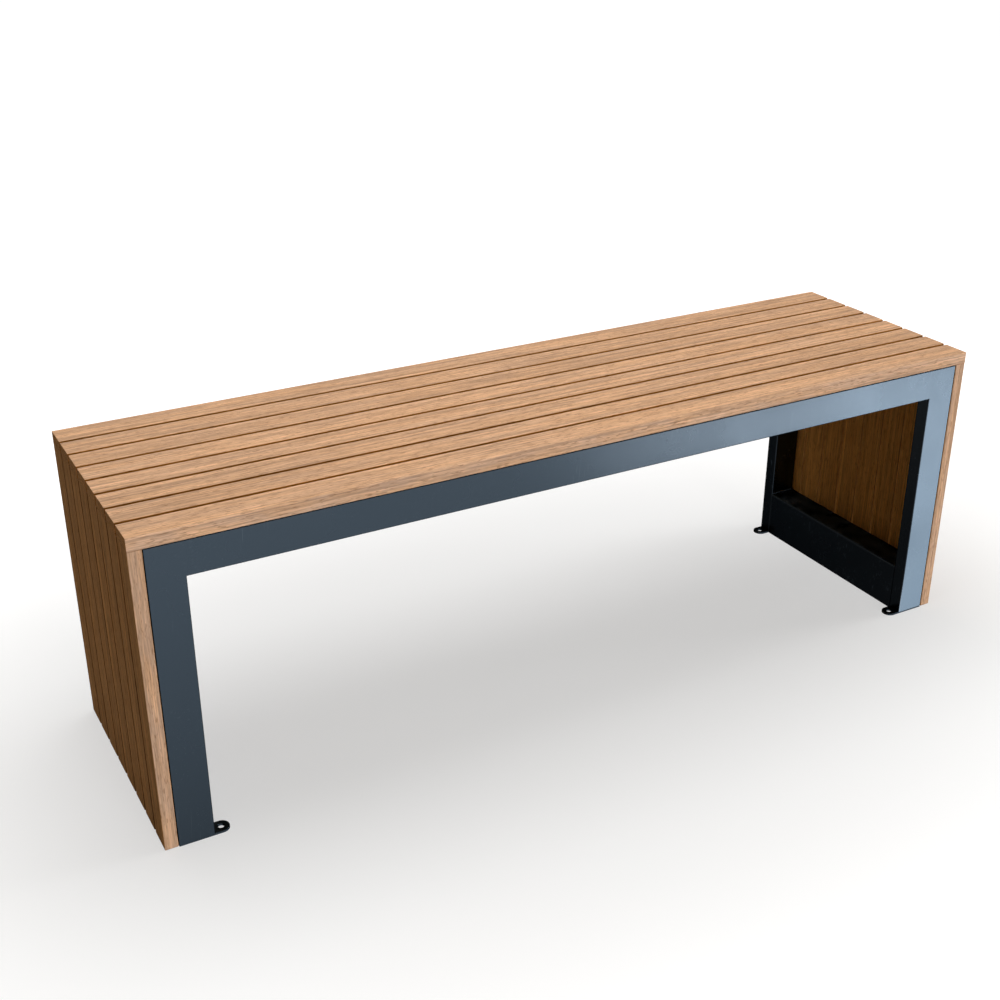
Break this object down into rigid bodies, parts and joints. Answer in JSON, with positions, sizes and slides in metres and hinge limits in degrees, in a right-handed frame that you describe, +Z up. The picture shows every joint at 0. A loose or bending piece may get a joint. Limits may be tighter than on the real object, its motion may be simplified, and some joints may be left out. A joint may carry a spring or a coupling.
{
  "type": "park bench",
  "caption": "Backless park bench: timber slats over the seat and both ends of a welded steel portal frame, with lugs at the feet for ground anchors.",
  "frame": {"origin": "on the ground under the middle of the seat", "axes": "+X along the bench to its right end, +Y to the rear, +Z up"},
  "size_m": [1.32, 0.366, 0.45],
  "materials": {
    "timber": "oiled hardwood, straight grain along each slat",
    "frame_steel": "satin black-grey powder coat",
    "screws": "plain stainless"
  },
  "bodies": {
    "root": {"seat_slat_1": "timber", "seat_slat_2": "timber", "seat_slat_3": "timber", "seat_slat_4": "timber", "seat_slat_5": "timber", "seat_slat_6": "timber", "seat_slat_7": "timber", "seat_slat_8": "timber", "left_end_slat_1": "timber", "left_end_slat_2": "timber", "left_end_slat_3": "timber", "left_end_slat_4": "timber", "left_end_slat_5": "timber", "left_end_slat_6": "timber", "left_end_slat_7": "timber", "left_end_slat_8": "timber", "right_end_slat_1": "timber", "right_end_slat_2": "timber", "right_end_slat_3": "timber", "right_end_slat_4": "timber", "right_end_slat_5": "timber", "right_end_slat_6": "timber", "right_end_slat_7": "timber", "right_end_slat_8": "timber", "front_rail": "frame_steel", "rear_rail": "frame_steel", "front_left_leg": "frame_steel", "front_right_leg": "frame_steel", "rear_left_leg": "frame_steel", "rear_right_leg": "frame_steel", "front_left_foot_plate": "frame_steel", "front_right_foot_plate": "frame_steel", "rear_left_foot_plate": "frame_steel", "rear_right_foot_plate": "frame_steel", "left_foot_bar": "frame_steel", "right_foot_bar": "frame_steel", "left_head_bar": "frame_steel", "right_head_bar": "frame_steel", "seat_bearer_1": "frame_steel", "seat_bearer_2": "frame_steel", "left_foot_bar_screws": "screws", "right_foot_bar_screws": "screws", "left_head_bar_screws": "screws", "right_head_bar_screws": "screws", "seat_bearer_screws": "screws"}
  },
  "joints": []
}
